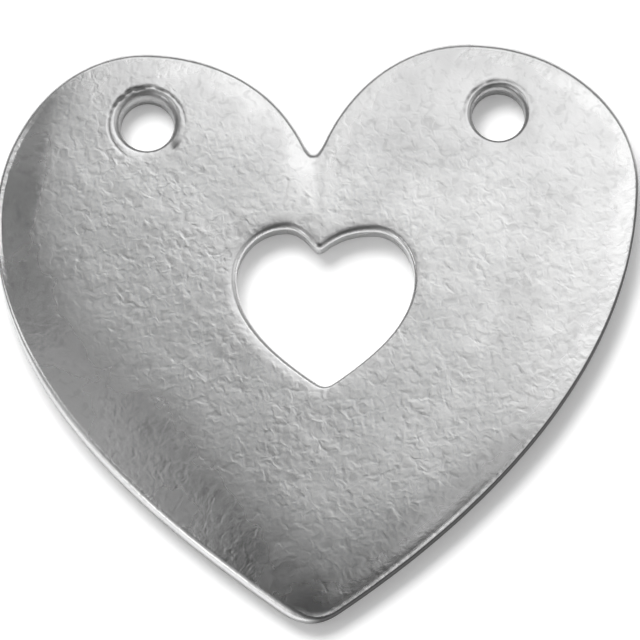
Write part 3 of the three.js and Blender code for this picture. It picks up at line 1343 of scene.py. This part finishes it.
@dataclass(frozen=True)
class Studio:
    """The white floor, the room round it and the lamps.

    Attributes:
        floor_glow: How much brighter than its light the floor is seen or mirrored.
        contact_reach: How far from the plate the mirrored floor's glow carries a painted contact shadow.
        contact_power: How dark that painted contact shadow is.
        room_light: How bright the room is between its bright places.
        backdrop_low: The rise of a ray up to which the mirrored backdrop is white.
        backdrop_high: The rise from which the room takes its place.
    """

    floor_radius: float = 2000
    floor_gap: float = 0.02
    floor_colour: float = 0.9
    floor_glow: float = 0.2
    contact_reach: float = 3.0
    contact_power: float = 2.0
    room_light: float = 0.04
    backdrop_low: float = 0.03
    backdrop_high: float = 0.07
    walls: tuple[WallGlow, ...] = (
        WallGlow(42, 120, 0.25, 10),
        WallGlow(48, 0, 0.35, 14),
        WallGlow(75, 0, 0.8),
        WallGlow(75, 45, 0.3),
        WallGlow(75, 90, 0.15),
        WallGlow(75, 135, 0.15),
        WallGlow(75, 180, 0.15),
        WallGlow(52, 225, 0.2, 14),
        WallGlow(75, 225, 0.6),
        WallGlow(82, 270, 0.3, 30),
        WallGlow(82, 315, 0.3, 30),
    )
    lamps: tuple[SoftBox, ...] = (
        SoftBox("shadow_key", (-75, 145, 250), 150, 110, 0.7, shiny=False),
        SoftBox("top_panel", (47, 113, 274), 80, 150, 0.024),
        SoftBox("back_panel", (0, 190, 236), 180, 130, 0.07),
        SoftBox("left_strip", (-185, -20, 236), 70, 170, 0.053),
        SoftBox.overhead("near_panel", 8, 13, 13, 27, 0.00082),
        SoftBox.overhead("near_right_panel", 20.5, 13, 13, 27, 0.0011),
        SoftBox.overhead("near_low_right_panel", 19, -11.5, 16, 21, 0.0006),
        SoftBox.overhead("near_notch_panel", -2.5, 16, 8, 8, 0.0002),
        SoftBox.overhead("near_top_panel", -5.8, 24, 17.5, 18, 0.00083),
        SoftBox.overhead("near_left_panel", -17.5, -5, 13, 20, 0.00032),
        SoftBox("low_left_panel", (-205, -205, 78), 70, 70, 0.03),
    )

    def build(self) -> None:
        """Makes the floor, the world and every lamp."""
        self._floor()
        self._world()
        for lamp in self.lamps:
            lamp.build()

    def _floor(self) -> None:
        """Lays the floor just under the plate."""
        bm = bmesh.new()
        bmesh.ops.create_circle(bm, cap_ends=True, segments=64, radius=self.floor_radius * MM)
        bmesh.ops.translate(bm, verts=bm.verts, vec=(0, 0, -self.floor_gap * MM))
        floor = add_mesh("floor", bm)
        material = bpy.data.materials.new("floor")
        material.use_nodes = True
        shader = material.node_tree.nodes["Principled BSDF"]
        shader.inputs["Base Color"].default_value = (self.floor_colour,) * 3 + (1,)
        shader.inputs["Roughness"].default_value = 1
        shader.inputs["Specular IOR Level"].default_value = 0
        shader.inputs["Emission Color"].default_value = (1, 1, 1, 1)
        sheet = NodeSheet(material.node_tree)
        seen, mirrored = sheet.rays()
        # Painted contact shadow: the floor's mirrored glow is darkened near the plate by occlusion.
        clear = sheet.add("AmbientOcclusion", {"samples": 4}, distance=self.contact_reach * MM)
        clear = sheet.math("POWER", clear.outputs["AO"], self.contact_power)
        glow = sheet.math("MAXIMUM", seen, sheet.math("MULTIPLY", mirrored, clear))
        sheet.set(shader.inputs["Emission Strength"], sheet.math("MULTIPLY", glow, self.floor_glow))
        floor.data.materials.append(material)

    def _world(self) -> None:
        """Makes the room: a white backdrop where it is seen or mirrored, and soft walls above it."""
        world = bpy.data.worlds.new("room")
        world.use_nodes = True
        bpy.context.scene.world = world
        background = world.node_tree.nodes["Background"]
        background.inputs["Color"].default_value = (1, 1, 1, 1)
        sheet = NodeSheet(world.node_tree)
        way = sheet.add("TexCoord").outputs["Generated"]
        light = self.room_light
        for wall in self.walls:
            facing = sheet.add("VectorMath", {"operation": "DOT_PRODUCT"}, n0=way, n1=wall.axis)
            glow = sheet.math("MAXIMUM", facing.outputs["Value"], 0.0)
            glow = sheet.math("POWER", glow, wall.tightness)
            light = sheet.math("MULTIPLY_ADD", glow, wall.strength, light)
        height = sheet.add("SeparateXYZ", vector=way).outputs["Z"]
        low = sheet.spread(height, self.backdrop_low, self.backdrop_high, 1.0, 0.0)
        seen, mirrored = sheet.rays()
        seen = sheet.math("MAXIMUM", seen, sheet.math("MULTIPLY", mirrored, low))
        strength = sheet.add("MapRange", value=seen, to_min=light, to_max=1.0).outputs["Result"]
        sheet.set(background.inputs["Strength"], strength)


def main() -> None:
    """Builds the camera, the studio and the plate."""
    logging.basicConfig(level=logging.INFO, format="%(name)s: %(message)s")
    bpy.context.scene.view_settings.view_transform = "Standard"
    ViewCamera().build()
    Studio().build()
    noise.seed_set(NOISE_SEED)
    plate = HeartPlate().build()
    grain = CastGrain().build()
    for metal in (FRONT_METAL, BACK_METAL):
        plate.data.materials.append(metal.build(grain))
    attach(plate, BODY)
    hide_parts(NODE)
    LOG.info("%s: %d faces", plate.name, len(plate.data.polygons))


if __name__ == "__main__":
    main()
